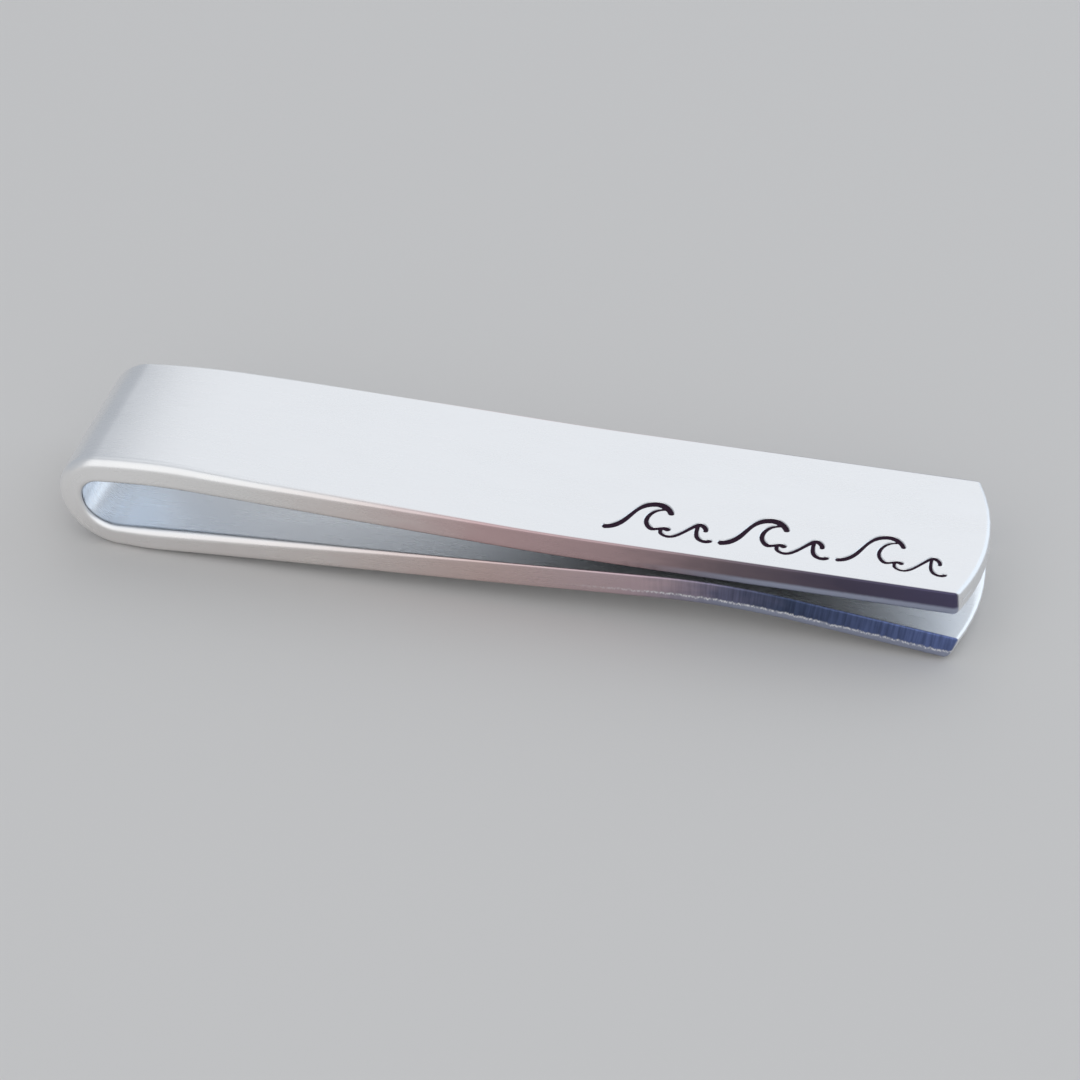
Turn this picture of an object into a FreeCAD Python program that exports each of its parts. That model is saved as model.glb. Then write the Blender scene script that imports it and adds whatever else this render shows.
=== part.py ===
"""Money clip bent from one strip of aluminium, with three inked wave stamps on its front leg.

Frame: +X runs along the clip from the bow to the tips, Y across the strip, +Z up.
The origin is at the middle of the bounding box's bottom, where the clip rests on a table.
The strip is divided at the bow's apex, where it flexes, and where each bend meets its leg.
All sizes are in millimetres and degrees.
"""

import FreeCAD, Part
import math
import os

import Sketcher
from FreeCAD import Placement, Rotation, Vector

DRIVING_SIZES = {
    "overall_length": 52.5,
    "strip_width": 11.0,
    "strip_thickness": 1.5,
    "edge_round": 0.35,
    # The bow: two bends that meet at the apex, measured to the middle of the strip.
    "lower_bend_radius": 2.6,
    "upper_bend_radius": 1.85,
    # The upper leg: a crown over the bow, a slope down to the pinch, then a flatter front end.
    "crown_rise": 5.5,
    "crown_radius": 40.0,
    "upper_slope": 2.9,
    "ease_start": 25.2,
    "ease_radius": 180.0,
    "front_slope": 1.0,
    # The lower leg: it rises to the pinch and then turns down to the flared tip.
    "lower_rise": 2.95,
    "pinch_start": 34.5,
    "pinch_radius": 45.0,
    "flare_slope": 7.35,
    # Each tip ends in a shallow arc with broken edges.
    "upper_tip_sagitta": 1.1,
    "lower_tip_sagitta": 0.85,
    "tip_break": 0.22,
    # The stamped waves: where the first one starts along the clip, and their base line's distance
    # from the front long edge.
    "wave_start": 31.55,
    "wave_pitch": 6.5,
    "wave_margin": 1.4,
    "groove_depth": 0.3,
    "ink_recess": 0.07,
}
STAMP_WEIGHTS = (1.0, 1.0, 0.76)   # how heavily each wave was struck, which widens its strokes
TRIM = 1.5        # how far a leg runs past its tip before the arc is cut
CUT_ABOVE = 0.3   # how far a groove's cutter stands out of the surface
BLUNT = 0.3       # how far a stroke's round end stands out, as a share of its width

# The wave, as strokes of (along, across, width) drawn from a foot at (0, 0), in millimetres.
WAVE_STROKES = {
    "crest": [(0.0, 0.21, 0.40), (0.48, 0.42, 0.38), (1.0, 1.14, 0.29), (1.6, 2.37, 0.28),
              (2.03, 2.77, 0.40), (2.65, 2.9, 0.46), (3.14, 2.6, 0.36), (3.4, 2.14, 0.26)],
    "curl": [(3.07, 2.52, 0.16), (2.53, 2.29, 0.20), (2.16, 1.6, 0.22), (2.29, 0.85, 0.23),
             (2.6, 0.58, 0.30), (3.18, 0.76, 0.28), (3.49, 0.66, 0.30)],
    "trough": [(3.13, 0.74, 0.16), (3.24, 0.2, 0.19), (3.62, 0.09, 0.24), (4.25, 0.54, 0.20),
               (4.78, 1.26, 0.23), (5.16, 1.56, 0.33), (5.46, 1.33, 0.25), (5.52, 1.02, 0.20)],
    "ripple": [(5.04, 1.44, 0.16), (5.06, 0.75, 0.19), (5.31, 0.22, 0.24), (5.65, 0.1, 0.28),
               (5.92, 0.22, 0.28)],
}


def make_sheet(doc):
    """The spreadsheet of driving sizes: a name and a plain number in each row."""
    sheet = doc.addObject("Spreadsheet::Sheet", "Sizes")
    for row, (name, value) in enumerate(DRIVING_SIZES.items(), start=1):
        sheet.set(f"A{row}", name)
        sheet.set(f"B{row}", str(value))
        sheet.setAlias(f"B{row}", name)
    doc.recompute()
    return sheet


def origin_plane(body, role):
    """The body's own origin plane with this role."""
    return next(item for item in body.Origin.OriginFeatures if item.Role == role)


def new_sketch(body, name, role):
    """A sketch that lies flat on one of the body's origin planes."""
    sketch = body.newObject("Sketcher::SketchObject", name)
    sketch.AttachmentSupport = [(origin_plane(body, role), "")]
    sketch.MapMode = "FlatFace"
    return sketch


def bind(sketch, constraint, expression):
    """Adds a constraint to the sketch and binds its value to an expression on the sheet."""
    index = sketch.addConstraint(constraint)
    sketch.setExpression(f"Constraints[{index}]", expression)


def heading(angle):
    """The unit vector in the side plane that climbs at this angle, in degrees."""
    return Vector(math.cos(math.radians(angle)), math.sin(math.radians(angle)), 0)


def square_to(angle):
    """The unit vector a quarter turn to the left of that heading."""
    return Vector(-math.sin(math.radians(angle)), math.cos(math.radians(angle)), 0)


def bend_centre(sizes, radius):
    """The centre of a bend of this middle radius that starts at the bow's apex."""
    across = -sizes.overall_length / 2 + sizes.strip_thickness / 2 + radius
    return Vector(across, sizes.lower_bend_radius + sizes.strip_thickness / 2, 0)


def arc_between(centre, start, end, counter_clockwise):
    """The arc about a centre from one point to another, turning the way that is asked."""
    first, last = (start, end) if counter_clockwise else (end, start)
    angles = [math.atan2(p.y - centre.y, p.x - centre.x) for p in (first, last)]
    circle = Part.Circle(centre, Vector(0, 0, 1), (start - centre).Length)
    return Part.ArcOfCircle(circle, angles[0], angles[1])


def midline_pieces(sizes, upper):
    """The middle line of one leg in the side plane, as its bend's arc and then its run.

    Each piece is (geometry, its start point's number, its end point's number, joint heading).
    """
    start_x = -sizes.overall_length / 2
    last_x = sizes.overall_length / 2 + TRIM
    if upper:
        radius = sizes.upper_bend_radius
        turns = [("arc", sizes.crown_radius, -sizes.upper_slope), ("line", start_x + sizes.ease_start),
                 ("arc", sizes.ease_radius, -sizes.front_slope), ("line", last_x)]
        angle = sizes.crown_rise
        point = bend_centre(sizes, radius) + square_to(angle) * radius
    else:
        radius = sizes.lower_bend_radius
        turns = [("line", start_x + sizes.pinch_start), ("arc", sizes.pinch_radius, -sizes.flare_slope),
                 ("line", last_x)]
        angle = sizes.lower_rise
        point = bend_centre(sizes, radius) - square_to(angle) * radius
    centre = bend_centre(sizes, radius)
    apex = centre - Vector(radius, 0, 0)
    pieces = [(arc_between(centre, apex, point, not upper), 2 if upper else 1, 1 if upper else 2)]
    for turn in turns:
        if turn[0] == "line":
            end = point + heading(angle) * ((turn[1] - point.x) / heading(angle).x)
            pieces.append((Part.LineSegment(point, end), 1, 2))
        else:
            left = turn[2] > angle
            side = 1 if left else -1
            centre = point + square_to(angle) * turn[1] * side
            angle = turn[2]
            end = centre - square_to(angle) * turn[1] * side
            pieces.append((arc_between(centre, point, end, left), 1 if left else 2, 2 if left else 1))
        point = end
    return pieces


def draw_midline(sketch, sizes, upper):
    """Draws a leg's middle line with its constraints. The bend's arc is construction only."""
    pieces = midline_pieces(sizes, upper)
    for number, (geometry, _, _) in enumerate(pieces):
        sketch.addGeometry(geometry, number == 0)
    bend = "upper_bend_radius" if upper else "lower_bend_radius"
    bind(sketch, Sketcher.Constraint("DistanceX", -1, 1, 0, 3, bend_centre(sizes, getattr(sizes, bend)).x),
         f"-Sizes.overall_length / 2 + Sizes.strip_thickness / 2 + Sizes.{bend}")
    bind(sketch, Sketcher.Constraint("DistanceY", -1, 1, 0, 3, bend_centre(sizes, 0).y),
         "Sizes.lower_bend_radius + Sizes.strip_thickness / 2")
    bind(sketch, Sketcher.Constraint("Radius", 0, getattr(sizes, bend)), f"Sizes.{bend}")
    sketch.addConstraint(Sketcher.Constraint("Horizontal", 0, 3, 0, pieces[0][1]))
    for number in range(len(pieces) - 1):
        sketch.addConstraint(Sketcher.Constraint(
            "Tangent", number, pieces[number][2], number + 1, pieces[number + 1][1]))
    half = "Sizes.overall_length / 2"
    if upper:
        junction = sizes.upper_bend_radius * math.sin(math.radians(sizes.crown_rise))
        bind(sketch, Sketcher.Constraint("DistanceX", 0, pieces[0][2], 0, 3, junction),
             "Sizes.upper_bend_radius * sin(Sizes.crown_rise)")
        runs = {1: "crown_radius", 2: ("upper_slope", "ease_start"), 3: "ease_radius",
                4: ("front_slope", None)}
    else:
        runs = {1: ("lower_rise", "pinch_start"), 2: "pinch_radius", 3: ("flare_slope", None)}
    for number, run in runs.items():
        if isinstance(run, str):
            bind(sketch, Sketcher.Constraint("Radius", number, getattr(sizes, run)), f"Sizes.{run}")
            continue
        slope, stop = run
        sign = 1 if slope == "lower_rise" else -1
        bind(sketch, Sketcher.Constraint("Angle", number, sign * math.radians(getattr(sizes, slope))),
             f"{sign} * Sizes.{slope}")
        if stop:
            place = -sizes.overall_length / 2 + getattr(sizes, stop)
            rule = f"-{half} + Sizes.{stop}"
        else:
            place = sizes.overall_length / 2 + TRIM
            rule = f"{half} + {TRIM}"
        bind(sketch, Sketcher.Constraint("DistanceX", -1, 1, number, 2, place), rule)
    return len(pieces)


def draw_section(sketch, sizes, offset="", across_first=True):
    """The strip's cross-section: a rectangle with rounded corners, centred on the sketch's origin.

    across_first puts the strip's width along the sketch's first axis, otherwise its thickness.
    offset names a radius by which the section stands back from the sketch's second axis.
    """
    names = ("strip_width", "strip_thickness") if across_first else ("strip_thickness", "strip_width")
    half = [getattr(sizes, name) / 2 for name in names]
    shift = -getattr(sizes, offset) if offset else 0.0
    r = sizes.edge_round
    inner = [(half[0] - r, half[1] - r), (-half[0] + r, half[1] - r),
             (-half[0] + r, -half[1] + r), (half[0] - r, -half[1] + r)]
    for turn, (x, y) in enumerate(inner):
        circle = Part.Circle(Vector(x + shift, y, 0), Vector(0, 0, 1), r)
        sketch.addGeometry(Part.ArcOfCircle(circle, turn * math.pi / 2, (turn + 1) * math.pi / 2))
    for turn in range(4):
        start = sketch.getPoint(turn, 2)
        end = sketch.getPoint((turn + 1) % 4, 1)
        sketch.addGeometry(Part.LineSegment(start, end))
    for turn in range(4):
        sketch.addConstraint(Sketcher.Constraint("Tangent", turn, 2, 4 + turn, 1))
        sketch.addConstraint(Sketcher.Constraint("Tangent", 4 + turn, 2, (turn + 1) % 4, 1))
        if turn:
            sketch.addConstraint(Sketcher.Constraint("Equal", 0, turn))
    sketch.addConstraint(Sketcher.Constraint("Horizontal", 4))
    sketch.addConstraint(Sketcher.Constraint("Vertical", 5))
    bind(sketch, Sketcher.Constraint("Radius", 0, r), "Sizes.edge_round")
    bind(sketch, Sketcher.Constraint("DistanceX", 5, 1, 7, 1, 2 * half[0]), f"Sizes.{names[0]}")
    bind(sketch, Sketcher.Constraint("DistanceY", 6, 1, 4, 1, 2 * half[1]), f"Sizes.{names[1]}")
    place = f"Sizes.{offset}" if offset else "0"
    bind(sketch, Sketcher.Constraint("DistanceX", -1, 1, 7, 1, half[0] + shift),
         f"Sizes.{names[0]} / 2 - {place}")
    bind(sketch, Sketcher.Constraint("DistanceY", -1, 1, 4, 1, half[1]), f"Sizes.{names[1]} / 2")


def make_bend(doc, sizes, name, radius_name, sweep, upward):
    """A bend of the bow: the strip's section turned about the bend's axis, from the apex."""
    body = doc.addObject("PartDesign::Body", name)
    section = new_sketch(body, f"{name}_section", "XY_Plane")
    section.setExpression(".AttachmentOffset.Base.x",
                          f"-Sizes.overall_length / 2 + Sizes.strip_thickness / 2 + Sizes.{radius_name}")
    section.setExpression(".AttachmentOffset.Base.z",
                          "Sizes.lower_bend_radius + Sizes.strip_thickness / 2")
    doc.recompute()
    draw_section(section, sizes, radius_name, across_first=False)
    turned = body.newObject("PartDesign::Revolution", f"{name}_turned")
    turned.Profile = section
    turned.ReferenceAxis = (section, ["V_Axis"])
    turned.Reversed = not upward
    turned.setExpression("Angle", sweep)
    doc.recompute()
    return body


def cut_tip(doc, body, sizes, name, arc):
    """Cuts the leg's end to the tip's arc, seen from above, and breaks the edges of the cut.

    arc names the arc's sagitta on the sheet.
    """
    sagitta = getattr(sizes, arc)
    radius = (sizes.strip_width ** 2 / 4 + sagitta ** 2) / (2 * sagitta)
    radius_rule = f"(Sizes.strip_width ^ 2 / 4 + Sizes.{arc} ^ 2) / (2 * Sizes.{arc})"
    outline = new_sketch(body, f"{name}_tip_outline", "XY_Plane")
    end = sizes.overall_length / 2
    reach = sizes.strip_width / 2 + TRIM
    centre = Vector(end - radius, 0, 0)
    start = Vector(centre.x + math.sqrt(radius ** 2 - reach ** 2), -reach, 0)
    stop = Vector(start.x, reach, 0)
    far = [Vector(end + 2 * TRIM, reach, 0), Vector(end + 2 * TRIM, -reach, 0)]
    outline.addGeometry(arc_between(centre, start, stop, True))
    for first, last in ((stop, far[0]), (far[0], far[1]), (far[1], start)):
        outline.addGeometry(Part.LineSegment(first, last))
    for number in range(4):
        outline.addConstraint(Sketcher.Constraint("Coincident", number, 2, (number + 1) % 4, 1))
    for number, kind in ((1, "Horizontal"), (2, "Vertical"), (3, "Horizontal")):
        outline.addConstraint(Sketcher.Constraint(kind, number))
    outline.addConstraint(Sketcher.Constraint("PointOnObject", 0, 3, -1))
    bind(outline, Sketcher.Constraint("Radius", 0, radius), radius_rule)
    bind(outline, Sketcher.Constraint("DistanceX", -1, 1, 0, 3, centre.x),
         f"Sizes.overall_length / 2 - {radius_rule}")
    bind(outline, Sketcher.Constraint("DistanceY", -1, 1, 0, 2, reach), f"Sizes.strip_width / 2 + {TRIM}")
    bind(outline, Sketcher.Constraint("DistanceX", -1, 1, 1, 2, far[0].x),
         f"Sizes.overall_length / 2 + {2 * TRIM}")
    doc.recompute()
    before = body.Shape.Volume
    pocket = body.newObject("PartDesign::Pocket", f"{name}_tip_cut")
    pocket.Profile = outline
    pocket.Midplane = True
    pocket.setExpression("Length", "4 * Sizes.overall_length")
    doc.recompute()
    if not 0 < before - body.Shape.Volume < 4 * TRIM * sizes.strip_width * sizes.strip_thickness:
        raise RuntimeError(f"{name}: the tip cut took {before - body.Shape.Volume:.3f} mm3")
    tip_face = max(range(len(pocket.Shape.Faces)), key=lambda i: pocket.Shape.Faces[i].CenterOfMass.x)
    broken = body.newObject("PartDesign::Fillet", f"{name}_tip_break")
    broken.Base = (pocket, [f"Face{tip_face + 1}"])
    broken.setExpression("Radius", "Sizes.tip_break")
    doc.recompute()


def make_leg(doc, sizes, name, upper):
    """One leg: the strip's section carried along its middle line, then cut to the tip's arc."""
    body = doc.addObject("PartDesign::Body", name)
    path = new_sketch(body, f"{name}_path", "XZ_Plane")
    count = draw_midline(path, sizes, upper)
    doc.recompute()
    section = body.newObject("Sketcher::SketchObject", f"{name}_section")
    first = path.Shape.Edges[0]
    start_x = min(first.Vertexes[0].X, first.Vertexes[-1].X)
    vertex = min(range(len(path.Shape.Vertexes)), key=lambda i: abs(path.Shape.Vertexes[i].X - start_x))
    section.AttachmentSupport = [(path, "Edge1"), (path, f"Vertex{vertex + 1}")]
    section.MapMode = "NormalToEdge"
    doc.recompute()
    draw_section(section, sizes)
    swept = body.newObject("PartDesign::AdditivePipe", f"{name}_swept")
    swept.Profile = section
    swept.Spine = (path, [f"Edge{number}" for number in range(1, count)])
    doc.recompute()
    cut_tip(doc, body, sizes, name, "upper_tip_sagitta" if upper else "lower_tip_sagitta")
    return body


def stroke_face(points):
    """A pen stroke through (along, across, width) points, with blunt round ends, as a flat face."""
    spine = Part.BSplineCurve()
    spine.interpolate([Vector(along, across, 0) for along, across, _ in points])
    sides = {1: [], -1: []}
    for along, across, width in points:
        tangent = Vector(*spine.tangent(spine.parameter(Vector(along, across, 0)))[0])
        normal = Vector(-tangent.y, tangent.x, 0)
        for side in sides:
            sides[side].append(Vector(along, across, 0) + normal * (side * width / 2))
    edges = []
    for side in sides:
        curve = Part.BSplineCurve()
        curve.interpolate(sides[side])
        edges.append(curve.toShape())
    for end, sign in ((0, -1), (-1, 1)):
        tangent = Vector(*spine.tangent(spine.FirstParameter if end == 0 else spine.LastParameter)[0])
        middle = (sides[1][end] + sides[-1][end]) / 2
        nose = middle + tangent * (sign * points[end][2] * BLUNT)
        edges.append(Part.Arc(sides[1][end], nose, sides[-1][end]).toShape())
    return Part.Face(Part.Wire(Part.__sortEdges__(edges)))


def wave_prism(weight, low, high):
    """One wave's strokes joined in one solid, between two heights over the stamped surface."""
    solids = []
    for points in WAVE_STROKES.values():
        face = stroke_face([(along, across, width * weight) for along, across, width in points])
        face.translate(Vector(0, 0, low))
        solids.append(face.extrude(Vector(0, 0, high - low)))
    joined = solids[0].multiFuse(solids[1:]).removeSplitter()
    return joined.Solids[0] if len(joined.Solids) == 1 else joined


def wave_placement(sizes, number):
    """Where a wave's foot lies: on the front end's flat top, on the base line along the long edge."""
    last = midline_pieces(sizes, True)[-1][0]
    slope = -sizes.front_slope
    along = -sizes.overall_length / 2 + sizes.wave_start + number * sizes.wave_pitch - last.StartPoint.x
    point = last.StartPoint + heading(slope) * along + square_to(slope) * (sizes.strip_thickness / 2)
    turn = Rotation(Vector(0, 1, 0), sizes.front_slope)
    return Placement(Vector(point.x, -sizes.strip_width / 2 + sizes.wave_margin, point.y), turn)


def make_waves(doc, sizes):
    """The ink that fills each stamped wave, and the cutters that leave the waves' grooves."""
    inks = []
    cutters = []
    for number, weight in enumerate(STAMP_WEIGHTS):
        for name, high, group in ((f"wave_ink_{number + 1}", -sizes.ink_recess, inks),
                                  (f"wave_cutter_{number + 1}", CUT_ABOVE, cutters)):
            feature = doc.addObject("Part::Feature", name)
            feature.Label = name
            feature.Shape = wave_prism(weight, -sizes.groove_depth, high)
            feature.Placement = wave_placement(sizes, number)
            group.append(feature)
    return inks, cutters


def stamp_leg(doc, blank, cutters):
    """The upper leg with the waves' grooves cut into its blank."""
    tools = doc.addObject("Part::Compound", "wave_cutters")
    tools.Links = cutters
    leg = doc.addObject("Part::Cut", "upper_leg")
    leg.Base = blank
    leg.Tool = tools
    leg.Label = "upper_leg"
    doc.recompute()
    return leg


def check(doc, parts):
    """Stops with a message if anything failed to compute or a sub-part isn't a sound solid."""
    for item in doc.Objects:
        if "Invalid" in item.State or "Error" in item.State:
            raise RuntimeError(f"{item.Name} did not compute: {item.State}")
    for part in parts:
        shape = part.Shape
        if shape.isNull() or not shape.isValid() or not shape.Solids:
            raise RuntimeError(f"{part.Label} is not a sound solid")


def main():
    doc = FreeCAD.newDocument("money_clip")
    sizes = make_sheet(doc)
    lower_bend = make_bend(doc, sizes, "lower_bend", "lower_bend_radius", "90 + Sizes.lower_rise", False)
    upper_bend = make_bend(doc, sizes, "upper_bend", "upper_bend_radius", "90 - Sizes.crown_rise", True)
    lower_leg = make_leg(doc, sizes, "lower_leg", False)
    blank = make_leg(doc, sizes, "upper_leg_blank", True)
    inks, cutters = make_waves(doc, sizes)
    upper_leg = stamp_leg(doc, blank, cutters)
    parts = [lower_leg, lower_bend, upper_bend, upper_leg] + inks
    doc.recompute()
    check(doc, parts)
    os.makedirs("parts", exist_ok=True)
    for part in parts:
        part.Shape.exportStep(f"parts/{part.Label}.step")
        box = part.Shape.BoundBox
        print(f"{part.Label}: {len(part.Shape.Solids)} solid, {part.Shape.Volume:.3f} mm3, "
              f"x {box.XMin:.3f}..{box.XMax:.3f} y {box.YMin:.3f}..{box.YMax:.3f} "
              f"z {box.ZMin:.3f}..{box.ZMax:.3f}")


main()
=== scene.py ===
"""Looks of the money clip: one bent strip of satin aluminium with three inked wave stamps.

Shapes are worked out in millimetres and become metres when a mesh is made, in the CAD frame:
+X from the bow to the tips, Y across the strip, +Z up, the origin under the clip's middle.
A point of the strip is (s, y, out): s along its middle line from the bow's apex, negative on the
lower leg; y across it; out from the middle of its thickness towards the clip's outside.
"""
import math

import bmesh
import bpy
import numpy as np
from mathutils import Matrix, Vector


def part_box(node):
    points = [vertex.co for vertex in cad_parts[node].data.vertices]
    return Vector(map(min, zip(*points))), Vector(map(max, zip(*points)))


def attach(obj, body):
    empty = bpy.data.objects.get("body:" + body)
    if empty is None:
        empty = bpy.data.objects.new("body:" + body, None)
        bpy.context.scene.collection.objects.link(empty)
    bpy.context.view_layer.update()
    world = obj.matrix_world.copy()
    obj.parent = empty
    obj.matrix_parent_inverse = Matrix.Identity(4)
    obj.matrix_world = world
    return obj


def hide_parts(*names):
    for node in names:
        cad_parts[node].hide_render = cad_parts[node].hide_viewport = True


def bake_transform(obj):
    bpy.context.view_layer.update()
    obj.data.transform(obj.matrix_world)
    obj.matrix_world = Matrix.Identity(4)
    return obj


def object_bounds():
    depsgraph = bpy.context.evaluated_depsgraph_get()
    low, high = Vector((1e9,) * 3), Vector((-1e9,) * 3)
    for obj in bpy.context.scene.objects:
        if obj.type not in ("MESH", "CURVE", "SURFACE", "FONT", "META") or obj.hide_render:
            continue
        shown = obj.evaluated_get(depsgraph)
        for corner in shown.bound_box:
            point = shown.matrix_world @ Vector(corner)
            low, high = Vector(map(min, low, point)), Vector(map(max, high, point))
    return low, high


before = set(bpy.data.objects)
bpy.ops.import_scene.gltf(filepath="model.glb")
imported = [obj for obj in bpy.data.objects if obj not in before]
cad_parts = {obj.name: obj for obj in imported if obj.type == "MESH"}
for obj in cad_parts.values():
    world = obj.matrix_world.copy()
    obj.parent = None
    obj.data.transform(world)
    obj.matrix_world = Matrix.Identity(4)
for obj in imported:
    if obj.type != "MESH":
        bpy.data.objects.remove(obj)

MM = 0.001
cad_low, cad_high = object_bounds()
LENGTH = (cad_high.x - cad_low.x) / MM
WIDTH = (cad_high.y - cad_low.y) / MM
BOW_X = cad_low.x / MM
APEX_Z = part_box("upper_bend")[0].z / MM

# The strip and its bends, as in the CAD model.
THICKNESS = 1.5
LOWER_BEND_RADIUS = 2.6
UPPER_BEND_RADIUS = 1.85
CROWN_RISE = 5.5
CROWN_RADIUS = 40.0
UPPER_SLOPE = 2.9
EASE_START = 25.2
EASE_RADIUS = 180.0
FRONT_SLOPE = 1.0
LOWER_RISE = 2.95
PINCH_START = 34.5
PINCH_RADIUS = 45.0
FLARE_SLOPE = 7.35
UPPER_TIP_SAGITTA = 1.1
LOWER_TIP_SAGITTA = 0.85

# The rounding of the long edges as (lower leg, upper leg): worn at the bow, sharper at the tips.
OUTER_BOW_ROUND = (0.5, 0.52)
OUTER_TIP_ROUND = (0.22, 0.12)
INNER_BOW_ROUND = (0.48, 0.3)
INNER_TIP_ROUND = (0.1, 0.28)
WORN_UNTIL = 7.0
SHARP_FROM = 29.0
LOWER_TILT = 0.26       # how far the bow's sides lean, because bending draws its outside in
UPPER_TILT = 0.14
TIP_ROUND = 0.28        # the rounding of the edges of the tips' ends
TIP_FADE = 3.2          # how far behind a tip the strip's rings still follow its arc
TIP_SLANT = 0.42        # how far the lower tip's end slopes back to its bottom edge
SLIM = 0.03             # how far the sides stand in, which leaves room for their relief
SIDE_LIMIT = 0.028      # the most that the relief stands out, and the deepest that it cuts in
NICK_LIMIT = -0.12
SHEARED_FROM = 33.0     # from here to the tips the long edges show how they were sheared
NICKS = (33.4, 34.2, 35.0)

GROOVE_DEPTH = 0.24
GROOVE_WALL = 0.035     # half the width of a groove's rounded wall
LIP_HEIGHT = 0.012
INK_LEVEL = 0.04        # how far the ink lies under the surface at the wall
INK_SAG = 0.03          # how much deeper it lies in the middle of a stroke
INK_OVERLAP = 0.045     # how far it reaches into the groove's wall
INK_FOOT = 0.04         # how far it reaches below the groove's floor
PATCH_STEP = 0.045      # spacing of the fine grid that carries the stamps
PATCH_BORDER = 0.3
PATCH_TIP_BORDER = 0.9  # wider towards the tip, where the grid bows back with the tip's arc
PATCH_GAP = 0.1         # between the patch's border and its fine grid
PATCH_COLUMN = 2        # the section's first point along the patch
PATCH_COLUMNS = 8       # how many of the section's steps the patch spans
PATCH_RINGS = 120       # how many of the strip's rings stand along the patch
TIP_RINGS = 14          # how many follow between the patch and the upper tip

# The rings that close a tip: shares of its half thickness, then angles round its end's rounding.
CLOSING_SHARES = (0.0025, 0.3, 0.6, 0.85)
ROUNDING_ANGLES = (90, 76, 62, 48, 34, 20, 8)

# Relief of the long sides, in millimetres.
WAVINESS = 0.005
FINE_WAVINESS = 0.0015
SHEAR_MARKS = 0.006
BURR_HEIGHT = 0.02
BURR_LEVEL = -0.47      # height of the burr, from the middle of the thickness
NICK_DEPTH = 0.09
NICK_LEVEL = -0.55

WELD = 0.002            # points closer than this become one
TOO_SHORT = 0.0005      # edges shorter than this are dissolved


def smooth(t):
    """Rises from 0 to 1 as t does, level at both ends."""
    t = np.clip(t, 0, 1)
    return t * t * (3 - 2 * t)


# ---------------------------------------------------------------- the middle line

class Leg:
    """Half of the strip's middle line, from the bow's apex to one tip.

    Each run is (start distance, x, z, heading in radians, curvature).
    """

    def __init__(self, side):
        self.runs = []
        self.x, self.z = BOW_X + THICKNESS / 2, APEX_Z
        self.heading = side * math.pi / 2
        self.length = 0.0
        if side > 0:
            self.bend(UPPER_BEND_RADIUS, CROWN_RISE)
            self.bend_end = self.length
            self.bend(CROWN_RADIUS, -UPPER_SLOPE)
            self.straight(BOW_X + EASE_START)
            self.bend(EASE_RADIUS, -FRONT_SLOPE)
        else:
            self.bend(LOWER_BEND_RADIUS, LOWER_RISE)
            self.bend_end = self.length
            self.straight(BOW_X + PINCH_START)
            self.bend(PINCH_RADIUS, -FLARE_SLOPE)
        reach = abs(math.sin(self.heading)) * (THICKNESS / 2 - TIP_ROUND)
        self.straight(BOW_X + LENGTH - reach)

    def add(self, length, curvature):
        self.runs.append((self.length, self.x, self.z, self.heading, curvature))
        self.length += length
        self.x, self.z, self.heading = (float(v) for v in self.at(self.length))

    def bend(self, radius, slope):
        turn = math.radians(slope) - self.heading
        self.add(radius * abs(turn), math.copysign(1 / radius, turn))

    def straight(self, until_x):
        self.add((until_x - self.x) / math.cos(self.heading), 0.0)

    def at(self, distance):
        """The middle line's x, z and heading at these distances from the apex."""
        starts = [run[0] for run in self.runs]
        index = np.clip(np.searchsorted(starts, distance, side="right") - 1, 0, len(starts) - 1)
        start, x, z, heading, curvature = np.moveaxis(np.array(self.runs)[index], -1, 0)
        step = distance - start
        turned = heading + curvature * step
        bent = np.abs(curvature) > 1e-9
        safe = np.where(bent, curvature, 1.0)
        ahead = np.where(bent, (np.sin(turned) - np.sin(heading)) / safe, np.cos(heading) * step)
        up = np.where(bent, (np.cos(heading) - np.cos(turned)) / safe, np.sin(heading) * step)
        return x + ahead, z + up, turned


UPPER = Leg(1)
LOWER = Leg(-1)


def frame_at(s):
    """The middle line's x and z at s, and the outward normal's x and z."""
    xu, zu, hu = UPPER.at(np.maximum(s, 0))
    xl, zl, hl = LOWER.at(np.maximum(-s, 0))
    upper = s >= 0
    return (np.where(upper, xu, xl), np.where(upper, zu, zl),
            np.where(upper, -np.sin(hu), np.sin(hl)), np.where(upper, np.cos(hu), -np.cos(hl)))


def place(s, y, out):
    """The points of the strip at (s, y, out)."""
    s, y, out = np.broadcast_arrays(s, y, out)
    x, z, normal_x, normal_z = frame_at(s)
    return np.stack([x + normal_x * out, y, z + normal_z * out], -1)


def tip_shift(s, y, out=0.0):
    """s moved back near a tip, so that the end follows the tip's arc, and slopes on the lower leg."""
    sagitta = np.where(s >= 0, UPPER_TIP_SAGITTA, LOWER_TIP_SAGITTA)
    radius = (WIDTH ** 2 / 4 + sagitta ** 2) / (2 * sagitta)
    sag = radius - np.sqrt(radius ** 2 - y ** 2)
    slant = TIP_SLANT * np.clip(out / THICKNESS + 0.5, 0, 1) * (s < 0)
    ends = np.where(s >= 0, UPPER.length, LOWER.length)
    return s - np.sign(s) * (sag + slant) * (1 - smooth((ends - np.abs(s)) / TIP_FADE))


def sharpness(s):
    """0 where the long edges are worn, near the bow, and 1 where they're sharp, near the tips."""
    return smooth((np.abs(s) - WORN_UNTIL) / (SHARP_FROM - WORN_UNTIL))


def side_rounds(s):
    """The radii of the outer and the inner long edges at s."""
    upper = smooth(s / 6 + 0.5)

    def between(pair):
        return pair[0] + (pair[1] - pair[0]) * upper

    return [between(worn) + (between(sharp) - between(worn)) * sharpness(s)
            for worn, sharp in ((OUTER_BOW_ROUND, OUTER_TIP_ROUND), (INNER_BOW_ROUND, INNER_TIP_ROUND))]


# ---------------------------------------------------------------- the stamps

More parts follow.
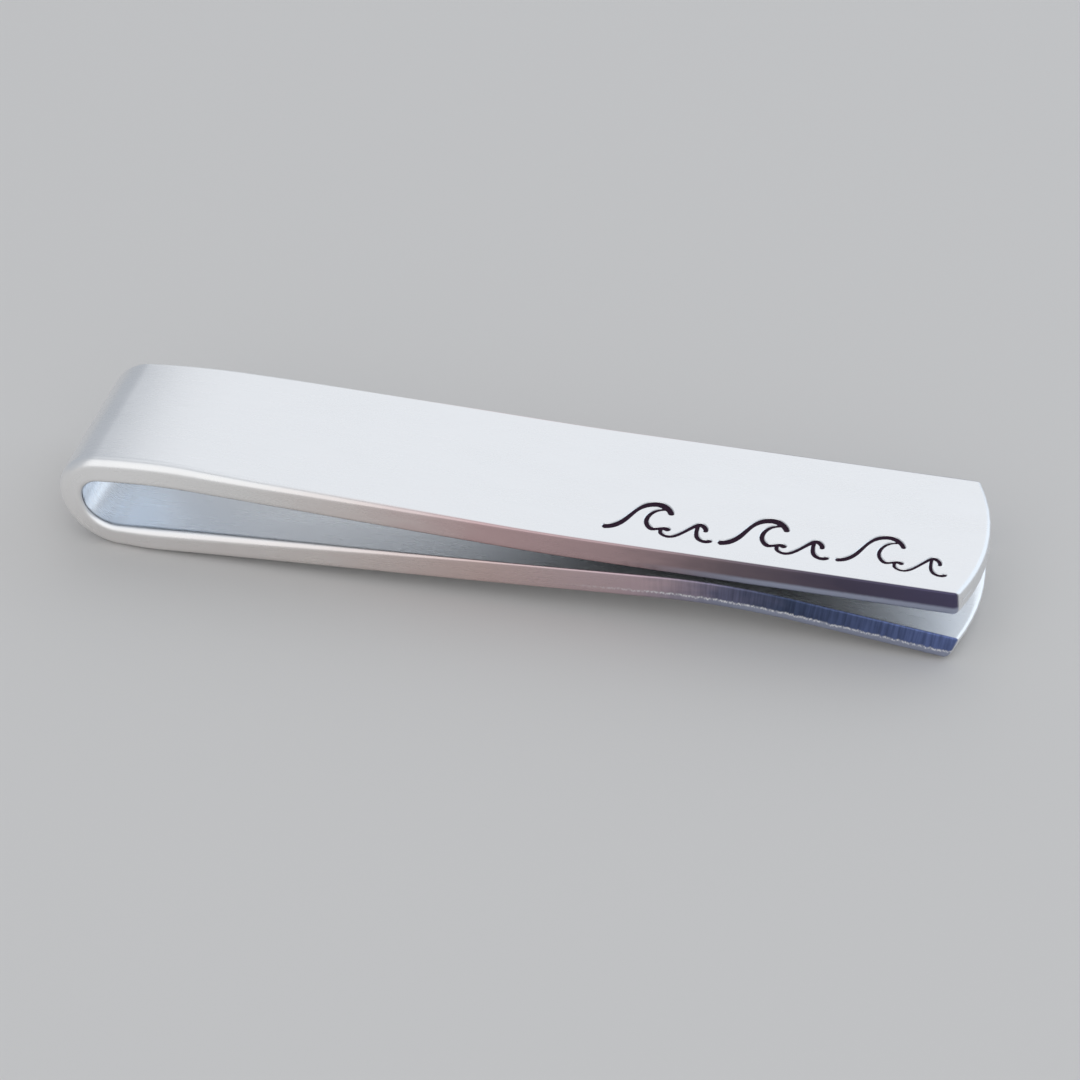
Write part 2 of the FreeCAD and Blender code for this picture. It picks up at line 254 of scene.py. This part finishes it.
def ink_outline(node):
    """The outline of one wave's ink, seen square to the front end: segments of (s, y) pairs."""
    slope = math.radians(-FRONT_SLOPE)
    end_x, end_z, _ = UPPER.at(UPPER.length)
    points = np.array([v.co for v in node.data.vertices]) / MM
    ahead = (points[:, 0] - end_x) * math.cos(slope) + (points[:, 2] - end_z) * math.sin(slope)
    above = (points[:, 2] - end_z) * math.cos(slope) - (points[:, 0] - end_x) * math.sin(slope)
    flat = np.round(np.stack([ahead + UPPER.length, points[:, 1]], -1), 4)
    top = above > above.max() - 0.02
    uses = {}
    for polygon in node.data.polygons:
        corners = list(polygon.vertices)
        if all(top[c] for c in corners):
            for a, b in zip(corners, corners[1:] + corners[:1]):
                key = tuple(sorted((tuple(flat[a]), tuple(flat[b]))))
                uses[key] = uses.get(key, 0) + 1
    return np.array([key for key, count in uses.items() if count == 1])


def signed_distance(points, segments):
    """Distance of (s, y) points from the closed outlines, negative inside."""
    a, b = segments[:, 0], segments[:, 1]
    span = b - a
    span_squared = np.maximum((span ** 2).sum(-1), 1e-12)
    rise = np.where(np.abs(span[:, 1]) < 1e-12, 1e-12, span[:, 1])
    result = np.empty(len(points))
    for start in range(0, len(points), 2000):
        p = points[start:start + 2000, None, :]
        share = np.clip(((p - a) * span).sum(-1) / span_squared, 0, 1)
        nearest = np.sqrt((((p - a) - share[..., None] * span) ** 2).sum(-1)).min(1)
        crossed = (a[:, 1] > p[..., 1]) != (b[:, 1] > p[..., 1])
        where = a[:, 0] + (p[..., 1] - a[:, 1]) * span[:, 0] / rise
        inside = (crossed & (p[..., 0] < where)).sum(1) % 2 == 1
        result[start:start + 2000] = np.where(inside, -nearest, nearest)
    return result


def groove(distance):
    """Height of the stamped surface at this distance from the ink's outline."""
    sunk = smooth((GROOVE_WALL - distance) / (2 * GROOVE_WALL + 0.02))
    lip = LIP_HEIGHT * np.exp(-((distance - 2 * GROOVE_WALL) / 0.045) ** 2)
    return lip * (distance > 0) - GROOVE_DEPTH * sunk


class Patch:
    """The fine grid over the stamps, on the upper leg's outer face."""

    def __init__(self, outlines):
        segments = np.concatenate(outlines)
        self.s = (segments[..., 0].min() - PATCH_BORDER, segments[..., 0].max() + PATCH_TIP_BORDER)
        self.y = (segments[..., 1].min() - PATCH_BORDER, segments[..., 1].max() + PATCH_BORDER)
        self.rows = np.arange(self.s[0] + PATCH_GAP, self.s[1] - PATCH_GAP / 2, PATCH_STEP)
        self.columns = np.arange(self.y[0] + PATCH_GAP, self.y[1] - PATCH_GAP / 2, PATCH_STEP)
        grid_s, grid_y = np.meshgrid(self.rows, self.columns, indexing="ij")
        self.grid_s = tip_shift(grid_s, grid_y)
        self.grid_y = grid_y * (WIDTH - 2 * SLIM) / WIDTH
        flat = np.stack([self.grid_s, self.grid_y], -1).reshape(-1, 2)
        self.distances = [signed_distance(flat, outline).reshape(grid_s.shape) for outline in outlines]

    def surface(self):
        return place(self.grid_s, self.grid_y, THICKNESS / 2 + groove(np.minimum.reduce(self.distances)))


# ---------------------------------------------------------------- the strip

def side_relief(s, y, rise):
    """How far the strip's long sides stand out: waviness, shear marks, burrs and nicks."""
    rng = np.random.default_rng(7)
    marks = rng.normal(0, 1, 4000)

    def random_line(where, seed):
        cell = np.floor(where).astype(int)
        share = smooth(where - cell)
        return marks[(cell + seed) % 4000] * (1 - share) + marks[(cell + seed + 1) % 4000] * share

    front = y < 0
    seed = np.where(front, 100, 1700)
    sheared = smooth((np.abs(s) - SHEARED_FROM) / 4.0)
    relief = WAVINESS * random_line(s * 0.4 + 60, seed) + FINE_WAVINESS * random_line(s * 5 + 600, seed)
    relief = relief + sheared * SHEAR_MARKS * random_line(s * 6 + 900, seed + 31)
    burr = np.exp(-((rise - BURR_LEVEL) / 0.07) ** 2) * (s < 0) * sheared
    relief = relief + burr * BURR_HEIGHT * smooth(0.5 + random_line(s * 3 + 700, seed + 77) / 2)
    nick = sum(np.exp(-((s - at) / 0.12) ** 2 - ((rise - NICK_LEVEL) / 0.12) ** 2) for at in NICKS)
    return relief - NICK_DEPTH * nick * front


def settle(s, y, out):
    """y with the long sides slimmed and leaning at the bow, and with their relief added."""
    outer, inner = side_rounds(s)
    r = np.where(out > 0, outer, inner)
    on_side = smooth((np.abs(y) - (WIDTH / 2 - r)) / r)
    relief = np.clip(side_relief(s, y, frame_at(s)[3] * out), NICK_LIMIT, SIDE_LIMIT)
    tilt = LOWER_TILT + (UPPER_TILT - LOWER_TILT) * smooth(s / UPPER.bend_end + 0.5)
    upright = np.where(s > 0, smooth((s - 4.5) / 8), smooth((-s - 0.6 * LOWER.bend_end) / LOWER.bend_end))
    lean = tilt * (1 - upright) * (out + THICKNESS / 2)
    near_side = smooth((np.abs(y) - WIDTH / 2 + 2.2) / 2.2)
    return y * (WIDTH - 2 * SLIM) / WIDTH + np.sign(y) * (on_side * relief - near_side * lean)


def section(outer_r, inner_r, patch):
    """The strip's cross-section as (y, out) points, from the front of its outer face and round."""
    half, thick = WIDTH / 2, THICKNESS / 2
    flat = half - outer_r
    inner_flat = half - inner_r
    turn = np.linspace(0, math.pi / 2, 8)[1:-1]
    patch_columns = np.linspace(max(patch.y[0], 0.12 - flat), patch.y[1], PATCH_COLUMNS + 1)
    outer = [-flat, -flat + 0.06, *patch_columns, *np.linspace(patch.y[1], flat - 0.06, 6)[1:], flat]
    inner = [inner_flat, inner_flat - 0.06, *np.linspace(4.4, -4.4, 9), -inner_flat + 0.06, -inner_flat]
    side = np.linspace(thick - outer_r, -thick + inner_r, 9)
    sin, cos = np.sin(turn), np.cos(turn)
    points = [(y, thick) for y in outer]
    points += list(zip(flat + outer_r * sin, thick - outer_r + outer_r * cos))
    points += [(half, out) for out in side]
    points += list(zip(inner_flat + inner_r * cos, -thick + inner_r - inner_r * sin))
    points += [(y, -thick) for y in inner]
    points += list(zip(-inner_flat - inner_r * sin, -thick + inner_r - inner_r * cos))
    points += [(-half, out) for out in side[::-1]]
    points += list(zip(-flat - outer_r * cos, thick - outer_r + outer_r * sin))
    return np.array(points)


def station_places(patch):
    """Distances along the strip where its cross-section stands, from the lower tip to the upper tip.

    They stand closest along the sheared lower edge, whose burr is fine, and round the bow.
    """
    lower_end = -(LOWER.length - TIP_ROUND)
    upper_end = UPPER.length - TIP_ROUND
    marks = [np.arange(lower_end, -SHEARED_FROM + 1, 0.08),
             np.arange(-SHEARED_FROM + 1, -LOWER.bend_end - 1.0, 0.3),
             np.arange(-LOWER.bend_end - 1.0, UPPER.bend_end + 1.0, 0.12),
             np.arange(UPPER.bend_end + 1.0, patch.s[0] - 0.05, 0.25),
             np.linspace(patch.s[0], patch.s[1], PATCH_RINGS),
             np.linspace(patch.s[1], upper_end, TIP_RINGS)[1:]]
    return np.concatenate(marks)


def zip_rows(first, first_at, second, second_at):
    """Triangles between two rows of vertices that run side by side."""
    faces = []
    i = j = 0
    while i < len(first) - 1 or j < len(second) - 1:
        if j == len(second) - 1 or (i < len(first) - 1 and first_at[i + 1] <= second_at[j + 1]):
            faces.append((first[i], first[i + 1], second[j]))
            i += 1
        else:
            faces.append((first[i], second[j + 1], second[j]))
            j += 1
    return faces


class StripMesh:
    """Gathers the strip's points and faces."""

    def __init__(self):
        self.points = []
        self.faces = []
        self.along = []      # distance along the strip
        self.around = []     # distance round its section
        self.cut = []        # 1 on the sheared sides, 0 on the faces
        self.rise = []       # height above the middle of the strip's thickness
        self.inside = []     # 1 on the clip's inner face, 0 outside

    def add(self, s, y, out, around, settled=False):
        """Adds points at (s, y, out), keeping what the looks need; returns their numbers."""
        s, y, out, around = (np.ravel(a) for a in np.broadcast_arrays(s, y, out, around))
        start = len(self.points)
        outer, inner = side_rounds(s)
        r = inner + (outer - inner) * smooth(out / THICKNESS + 0.5)
        wide = y if settled else settle(s, y, out)
        self.points.extend(place(s, wide, out))
        self.along.extend(s)
        self.around.extend(around)
        start_at = 0.7 + 0.45 * sharpness(s)
        self.cut.extend(smooth((np.abs(y) - (WIDTH / 2 - start_at * r)) / (0.6 * r)))
        self.rise.extend(frame_at(s)[3] * out)
        self.inside.extend(np.clip(-out / (THICKNESS / 2), 0, 1))
        return np.arange(start, len(self.points))

    def face(self, corners):
        """Adds one face between the points with these numbers."""
        self.faces.append(tuple(int(c) for c in corners))


def end_rings(loop, end, sign):
    """Rings that close one tip, from a line across its end out to the strip's full section."""
    half, thick = WIDTH / 2, THICKNESS / 2

    def squeezed(inset, flatten=1.0):
        across = (half - inset) / half
        return loop[:, 0] * across, loop[:, 1] * (thick - inset) / thick * flatten

    rings = [(end, *squeezed(TIP_ROUND * (2 - share), share)) for share in CLOSING_SHARES]
    for a in np.radians(ROUNDING_ANGLES):
        rings.append((end - sign * TIP_ROUND * (1 - math.sin(a)), *squeezed(TIP_ROUND * (1 - math.cos(a)))))
    return rings


def make_strip(patch):
    """The whole strip as one closed mesh, with the stamps sunk into its outer face."""
    mesh = StripMesh()
    at = station_places(patch)
    reference = section(*side_rounds(at[-1]), patch)
    steps = np.linalg.norm(np.diff(np.vstack([reference, reference[:1]]), axis=0), axis=1)
    around = np.concatenate([[0], np.cumsum(steps)[:-1]])
    rings = []

    def add_ring(s, y, out):
        moved = tip_shift(np.full(len(y), s), y, out)
        rings.append(mesh.add(moved, y, out, around))

    for s, y, out in end_rings(section(*side_rounds(at[0]), patch), -LOWER.length, -1):
        add_ring(s, y, out)
    first = len(rings)
    for s in at:
        loop = section(*side_rounds(s), patch)
        add_ring(s, loop[:, 0], loop[:, 1])
    for s, y, out in reversed(end_rings(reference, UPPER.length, 1)):
        add_ring(s, y, out)

    low = first + int(np.argmin(np.abs(at - patch.s[0])))
    high = first + int(np.argmin(np.abs(at - patch.s[1])))
    n = len(reference)
    for i in range(len(rings) - 1):
        for j in range(n):
            if low <= i < high and PATCH_COLUMN <= j < PATCH_COLUMN + PATCH_COLUMNS:
                continue
            k = (j + 1) % n
            mesh.face((rings[i][j], rings[i][k], rings[i + 1][k], rings[i + 1][j]))
    for ring, turned in ((rings[0], False), (rings[-1], True)):
        close_line(mesh, ring, turned)

    # The fine grid with the stamps, and the triangles that join it to the rings.
    start = len(mesh.points)
    surface = patch.surface()
    flat_around = around[PATCH_COLUMN] + patch.grid_y - patch.y[0]
    mesh.add(patch.grid_s, patch.grid_y, THICKNESS / 2, flat_around, settled=True)
    mesh.points[start:] = list(surface.reshape(-1, 3))
    index = start + np.arange(patch.grid_s.size).reshape(patch.grid_s.shape)
    for i in range(index.shape[0] - 1):
        for j in range(index.shape[1] - 1):
            mesh.face((index[i, j], index[i, j + 1], index[i + 1, j + 1], index[i + 1, j]))
    ring_s = at[low - first:high - first + 1]
    front = [rings[i][PATCH_COLUMN] for i in range(low, high + 1)]
    back = [rings[i][PATCH_COLUMN + PATCH_COLUMNS] for i in range(low, high + 1)]
    near = rings[low][PATCH_COLUMN:PATCH_COLUMN + PATCH_COLUMNS + 1]
    far = rings[high][PATCH_COLUMN:PATCH_COLUMN + PATCH_COLUMNS + 1]
    ring_y = np.linspace(*patch.y, PATCH_COLUMNS + 1)
    joins = [(front, ring_s, index[:, 0], patch.rows, False), (back, ring_s, index[:, -1], patch.rows, True),
             (near, ring_y, index[0], patch.columns, True), (far, ring_y, index[-1], patch.columns, False)]
    for outer_row, outer_at, inner_row, inner_at, turned in joins:
        for corners in zip_rows(outer_row, outer_at, inner_row, inner_at):
            mesh.face(reversed(corners) if turned else corners)
    return build_strip(mesh)


def close_line(mesh, ring, turned):
    """Closes a ring that has shrunk to a line by joining its two sides."""
    n = len(ring)
    i, j = 0, n - 1
    while j - i > 1:
        corners = [ring[i], ring[i + 1], ring[j - 1], ring[j]]
        if j - i == 2:
            del corners[2]
        mesh.face(corners if turned else reversed(corners))
        i, j = i + 1, j - 1


def build_mesh(name, points, faces):
    """A Blender object from points in millimetres."""
    mesh = bpy.data.meshes.new(name)
    mesh.from_pydata((np.array(points) * MM).tolist(), [], faces)
    obj = bpy.data.objects.new(name, mesh)
    bpy.context.scene.collection.objects.link(obj)
    return obj


def clean(obj):
    """Welds the mesh, turns its normals outward and shades it smooth."""
    work = bmesh.new()
    work.from_mesh(obj.data)
    bmesh.ops.remove_doubles(work, verts=work.verts, dist=WELD * MM)
    bmesh.ops.dissolve_degenerate(work, edges=work.edges, dist=TOO_SHORT * MM)
    bmesh.ops.recalc_face_normals(work, faces=work.faces)
    work.to_mesh(obj.data)
    work.free()
    obj.data.polygons.foreach_set("use_smooth", [True] * len(obj.data.polygons))
    obj.data.update()


def build_strip(gathered):
    """The strip's object, with what the material needs to know at each point."""
    obj = build_mesh("strip", gathered.points, gathered.faces)
    for name, values in (("along", gathered.along), ("around", gathered.around),
                         ("cut", gathered.cut), ("rise", gathered.rise), ("inside", gathered.inside)):
        attribute = obj.data.attributes.new(name, "FLOAT", "POINT")
        attribute.data.foreach_set("value", np.array(values, np.float32))
    clean(obj)
    return obj


def make_ink(name, patch, distance):
    """The ink in one stamped wave: its top sags between the groove's walls, its sides hide in them."""
    low = distance < INK_OVERLAP
    depth = INK_LEVEL + INK_SAG * smooth(-distance / 0.12)
    top = place(patch.grid_s, patch.grid_y, THICKNESS / 2 - depth)
    bottom = place(patch.grid_s, patch.grid_y, THICKNESS / 2 - GROOVE_DEPTH - INK_FOOT)
    cells = low[:-1, :-1] & low[1:, :-1] & low[1:, 1:] & low[:-1, 1:]
    index = -np.ones(low.shape, int)
    points, faces = [], []

    def number(i, j):
        if index[i, j] < 0:
            index[i, j] = len(points)
            points.extend((top[i, j], bottom[i, j]))
        return index[i, j]

    for i, j in zip(*np.nonzero(cells)):
        corners = [(i, j), (i, j + 1), (i + 1, j + 1), (i + 1, j)]
        tops = [int(number(*c)) for c in corners]
        faces.append(tuple(tops[::-1]))
        faces.append(tuple(t + 1 for t in tops))
        beside = [(i - 1, j), (i, j + 1), (i + 1, j), (i, j - 1)]
        for side, (p, q) in enumerate(beside):
            inside = 0 <= p < cells.shape[0] and 0 <= q < cells.shape[1] and cells[p, q]
            if not inside:
                a, b = tops[side], tops[(side + 1) % 4]
                faces.append((a, b, b + 1, a + 1))
    obj = build_mesh(name, points, faces)
    clean(obj)
    return obj


# ---------------------------------------------------------------- materials

class Shader:
    """A small helper that adds nodes to one material and links them."""

    def __init__(self, name):
        self.material = bpy.data.materials.new(name)
        self.material.use_nodes = True
        self.nodes = self.material.node_tree.nodes
        self.nodes.clear()
        output = self.nodes.new("ShaderNodeOutputMaterial")
        self.surface = self.nodes.new("ShaderNodeBsdfPrincipled")
        self.link(self.surface.outputs[0], output.inputs[0])

    def link(self, source, target):
        self.material.node_tree.links.new(source, target)

    def put(self, value, socket):
        """Links an output to a socket, or sets the socket to a plain value."""
        if isinstance(value, bpy.types.NodeSocket):
            self.link(value, socket)
        else:
            socket.default_value = value

    def math(self, operation, *values):
        node = self.nodes.new("ShaderNodeMath")
        node.operation = operation
        for value, socket in zip(values, node.inputs):
            self.put(value, socket)
        return node.outputs[0]

    def attribute(self, name):
        node = self.nodes.new("ShaderNodeAttribute")
        node.attribute_name = name
        return node.outputs["Fac"]

    def combine(self, x, y, z=0.0):
        node = self.nodes.new("ShaderNodeCombineXYZ")
        for value, socket in zip((x, y, z), node.inputs):
            self.put(value, socket)
        return node.outputs[0]

    def noise(self, vector, detail=2.0, roughness=0.5):
        node = self.nodes.new("ShaderNodeTexNoise")
        node.inputs["Scale"].default_value = 1.0
        node.inputs["Detail"].default_value = detail
        node.inputs["Roughness"].default_value = roughness
        self.link(vector, node.inputs["Vector"])
        return node.outputs["Fac"]

    def remap(self, value, low, high, to_low, to_high):
        node = self.nodes.new("ShaderNodeMapRange")
        node.interpolation_type = "SMOOTHSTEP"
        for number, socket in zip((value, low, high, to_low, to_high), node.inputs):
            self.put(number, socket)
        return node.outputs[0]

    def mix(self, factor, first, second):
        node = self.nodes.new("ShaderNodeMix")
        node.data_type = "RGBA"
        self.put(factor, node.inputs["Factor"])
        for value, socket in ((first, node.inputs["A"]), (second, node.inputs["B"])):
            self.put((*value, 1.0) if isinstance(value, tuple) else value, socket)
        return node.outputs["Result"]

    def scale(self, vector, factor):
        node = self.nodes.new("ShaderNodeVectorMath")
        node.operation = "SCALE"
        self.link(vector, node.inputs[0])
        self.put(factor, node.inputs["Scale"])
        return node.outputs[0]

    def ramp(self, factor, stops):
        node = self.nodes.new("ShaderNodeValToRGB")
        elements = node.color_ramp.elements
        while len(elements) < len(stops):
            elements.new(0.5)
        for element, (position, colour) in zip(elements, stops):
            element.position = position
            element.color = (*colour, 1.0)
        self.link(factor, node.inputs[0])
        return node.outputs[0]

    def bump(self, height, strength, distance):
        node = self.nodes.new("ShaderNodeBump")
        node.inputs["Strength"].default_value = strength
        node.inputs["Distance"].default_value = distance
        self.link(height, node.inputs["Height"])
        return node.outputs[0]


# Colours of the sheared edges, by the share of the way from the bow to the tip: plain metal at the bow,
# then painted reflections, pinkish brown as of the floor, and dark navy painted shade towards the tips.
UPPER_EDGE_AND_REFLECTION = [(0.0, (0.97, 0.96, 0.95)), (0.22, (0.94, 0.92, 0.90)), (0.34, (0.84, 0.76, 0.73)),
              (0.48, (0.66, 0.47, 0.47)), (0.62, (0.52, 0.37, 0.38)), (0.73, (0.22, 0.17, 0.19)),
              (0.86, (0.10, 0.085, 0.13)), (1.0, (0.10, 0.09, 0.165))]
LOWER_EDGE_AND_REFLECTION = [(0.0, (0.97, 0.96, 0.95)), (0.30, (0.88, 0.82, 0.79)), (0.48, (0.74, 0.58, 0.55)),
              (0.66, (0.60, 0.46, 0.50)), (0.74, (0.17, 0.17, 0.26)), (0.81, (0.065, 0.085, 0.155)),
              (1.0, (0.15, 0.20, 0.42))]


def aluminium():
    """Satin aluminium with fine lines; its sheared long edges carry painted reflections and shade, darker to
    the tips.
    """
    sh = Shader("satin_aluminium")
    along, around = sh.attribute("along"), sh.attribute("around")
    cut, rise = sh.attribute("cut"), sh.attribute("rise")

    def stretched(per_mm_along, per_mm_around, detail, roughness=0.55):
        return sh.noise(sh.combine(sh.math("MULTIPLY", along, per_mm_along),
                                   sh.math("MULTIPLY", around, per_mm_around)), detail, roughness)

    brush = stretched(0.4, 11.0, 4)
    cloud = stretched(0.16, 0.4, 3)
    grain = stretched(9.0, 9.0, 2)
    face = sh.mix(cloud, (0.87, 0.875, 0.89), (0.93, 0.935, 0.945))
    # Painted reflection: the inner face is tinted blue near the bow, as if mirroring a bluish sky, and
    # nearly neutral further along.
    reach = sh.math("DIVIDE", sh.math("ABSOLUTE", along), UPPER.length)
    lining_and_sky_reflection = sh.mix(sh.remap(reach, 0.08, 0.25, 0.0, 1.0), (0.93, 0.96, 1.0), (0.97, 0.98, 0.995))
    face = sh.mix(sh.attribute("inside"), face, lining_and_sky_reflection)

    # The sheared edges: bright, worn metal at the bow, then painted reflections that darken to painted
    # shade, streaked, at the tips.
    wander = sh.math("MULTIPLY_ADD", stretched(0.5, 1.5, 2), 0.06, -0.03)
    place_on_edge = sh.math("ADD", reach, wander)
    lower = sh.math("LESS_THAN", along, 0.0)
    edge_and_reflection = sh.mix(lower, sh.ramp(place_on_edge, UPPER_EDGE_AND_REFLECTION), sh.ramp(place_on_edge, LOWER_EDGE_AND_REFLECTION))
    sheared = sh.remap(reach, 0.62, 0.8, 0.0, 1.0)
    streaks = sh.remap(stretched(4.5, 0.3, 2, 0.6), 0.3, 0.7, -0.22, 0.3)
    shade = sh.math("MULTIPLY_ADD", sh.math("MULTIPLY", sheared, lower), streaks, 1.0)
    edge_and_reflection = sh.scale(edge_and_reflection, shade)
    # Painted reflection: low on the sheared tips' sides the colour turns a lighter blue-grey, as if
    # mirroring the floor, uneven on the lower leg.
    foot = sh.math("MULTIPLY_ADD", stretched(4.5, 0.3, 4, 0.75), 0.42, -0.21)
    height = sh.math("ADD", rise, sh.math("MULTIPLY", foot, lower))
    pale = sh.mix(sh.math("MULTIPLY", sh.remap(height, -0.36, -0.12, 1.0, 0.0), sheared), edge_and_reflection,
                  (0.40, 0.43, 0.55))
    # Painted highlight: a broken near-white line along the lower leg's burr towards its tip, standing in for
    # the light it catches.
    burr_highlight = sh.math("MULTIPLY", sh.remap(sh.math("ABSOLUTE", sh.math("ADD", height, 0.28)),
                                             0.02, 0.1, 1.0, 0.0),
                        sh.remap(stretched(7.0, 3.0, 3, 0.7), 0.38, 0.6, 0.15, 1.0))
    burr_highlight_reach = sh.math("MULTIPLY", sh.remap(reach, 0.55, 0.72, 0.0, 0.95), lower)
    pale = sh.mix(sh.math("MULTIPLY", burr_highlight, burr_highlight_reach), pale, (0.97, 0.97, 0.99))
    sh.put(sh.mix(cut, face, pale), sh.surface.inputs["Base Color"])

    rough = sh.remap(sh.math("ADD", sh.math("MULTIPLY", brush, 0.6), sh.math("MULTIPLY", cloud, 0.4)),
                     0.3, 0.7, 0.25, 0.34)
    sh.put(sh.math("MULTIPLY_ADD", sh.math("MULTIPLY", cut, sheared), 0.1, rough),
           sh.surface.inputs["Roughness"])
    finish = sh.math("ADD", brush, sh.math("MULTIPLY", grain, 0.5))
    sh.put(sh.bump(finish, 0.12, 0.00002), sh.surface.inputs["Normal"])
    sh.surface.inputs["Metallic"].default_value = 1.0
    return sh.material


def ink_material():
    """Dark matte ink, a little uneven where it dried."""
    sh = Shader("stamp_ink")
    coordinates = sh.nodes.new("ShaderNodeTexCoord")
    mottle = sh.noise(sh.scale(coordinates.outputs["Object"], 5000.0), 3)
    sh.put(sh.mix(mottle, (0.010, 0.003, 0.010), (0.040, 0.013, 0.034)), sh.surface.inputs["Base Color"])
    sh.put(sh.bump(mottle, 0.3, 0.00001), sh.surface.inputs["Normal"])
    sh.surface.inputs["Roughness"].default_value = 0.75
    sh.surface.inputs["Specular IOR Level"].default_value = 0.15
    return sh.material


# ---------------------------------------------------------------- the pieces

def finish_strip(patch):
    """The strip, in place of its four CAD nodes."""
    strip = make_strip(patch)
    strip.data.materials.append(aluminium())
    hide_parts("lower_leg", "lower_bend", "upper_bend", "upper_leg")
    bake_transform(strip)
    along = np.zeros(len(strip.data.vertices), np.float32)
    strip.data.attributes["along"].data.foreach_get("value", along)


def finish_inks(patch, names):
    """The ink of each wave, in place of its CAD node; it moves with the upper arm."""
    dark = ink_material()
    for name, distance in zip(names, patch.distances):
        ink = make_ink(name.replace("wave_ink", "ink"), patch, distance)
        ink.data.materials.append(dark)
        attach(ink, "upper_arm")
        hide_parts(name)


# ---------------------------------------------------------------- the studio

FLOOR_GAP = 0.00001     # metres; keeps the floor clear of the strip's lowest line

# name, position in metres, size, strength, colour
LIGHTS = [("back_window", (-0.06, 0.475, 0.36), (0.38, 0.75), 0.42, (1.0, 0.995, 0.985)),
          ("front_soft", (0.0, -0.46, 0.36), (1.0, 0.85), 0.50, (1.0, 0.99, 0.97)),
          ("overhead_soft", (0.0, 0.09, 0.62), (0.7, 0.32), 0.36, (1.0, 0.995, 0.985)),
          ("right_window", (0.46, 0.42, 0.28), (0.8, 0.65), 0.62, (0.78, 0.89, 1.0))]

FLOOR_HALF = 1.5        # metres
FLOOR_COLOUR = (0.70, 0.68, 0.66, 1)
SKY_COLOUR = (0.88, 0.93, 1.0, 1)
SKY_STRENGTH = 0.52

# The camera, fitted to the clip's outline: degrees, metres and millimetres of lens.
CAMERA_AZIMUTH = 12.67
CAMERA_ELEVATION = 36.06
CAMERA_TARGET = (0.00078, 0, 0.00053)
CAMERA_DISTANCE = 0.1863
CAMERA_LENS = 108.3


def studio():
    """A plain pale floor, with large soft lights behind, in front, overhead and to the right."""
    mesh = bpy.data.meshes.new("floor")
    work = bmesh.new()
    bmesh.ops.create_grid(work, x_segments=1, y_segments=1, size=FLOOR_HALF)
    work.to_mesh(mesh)
    work.free()
    floor = bpy.data.objects.new("floor", mesh)
    bpy.context.scene.collection.objects.link(floor)
    floor.location.z = -FLOOR_GAP
    pale = Shader("pale_floor")
    pale.surface.inputs["Base Color"].default_value = FLOOR_COLOUR
    pale.surface.inputs["Roughness"].default_value = 0.8
    mesh.materials.append(pale.material)
    for name, position, size, radiance, colour in LIGHTS:
        light = bpy.data.lights.new(name, "AREA")
        light.shape = "RECTANGLE"
        light.size, light.size_y = size
        light.energy = radiance * math.pi * size[0] * size[1]
        light.color = colour
        lamp = bpy.data.objects.new(name, light)
        lamp.location = position
        lamp.rotation_mode = "QUATERNION"
        lamp.rotation_quaternion = (-Vector(position)).to_track_quat("-Z", "Y")
        bpy.context.scene.collection.objects.link(lamp)
    world = bpy.data.worlds.new("studio")
    bpy.context.scene.world = world
    world.use_nodes = True
    background = world.node_tree.nodes["Background"]
    background.inputs[0].default_value = SKY_COLOUR
    background.inputs[1].default_value = SKY_STRENGTH


def camera():
    """The camera, looking down at the clip's front side from a little to the right."""
    azimuth, elevation = math.radians(CAMERA_AZIMUTH), math.radians(CAMERA_ELEVATION)
    target = Vector(CAMERA_TARGET)
    back = Vector((math.sin(azimuth) * math.cos(elevation), -math.cos(azimuth) * math.cos(elevation),
                   math.sin(elevation)))
    data = bpy.data.cameras.new("camera")
    data.sensor_width = 36.0
    data.lens = CAMERA_LENS
    data.clip_start = 0.005
    obj = bpy.data.objects.new("camera", data)
    obj.location = target + back * CAMERA_DISTANCE
    obj.rotation_mode = "QUATERNION"
    obj.rotation_quaternion = (-back).to_track_quat("-Z", "Y")
    bpy.context.scene.collection.objects.link(obj)
    bpy.context.scene.camera = obj


ink_names = sorted(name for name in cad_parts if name.startswith("wave_ink"))
stamps = Patch([ink_outline(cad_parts[name]) for name in ink_names])
finish_strip(stamps)
finish_inks(stamps, ink_names)
studio()
camera()
bpy.context.scene.view_settings.view_transform = "Standard"
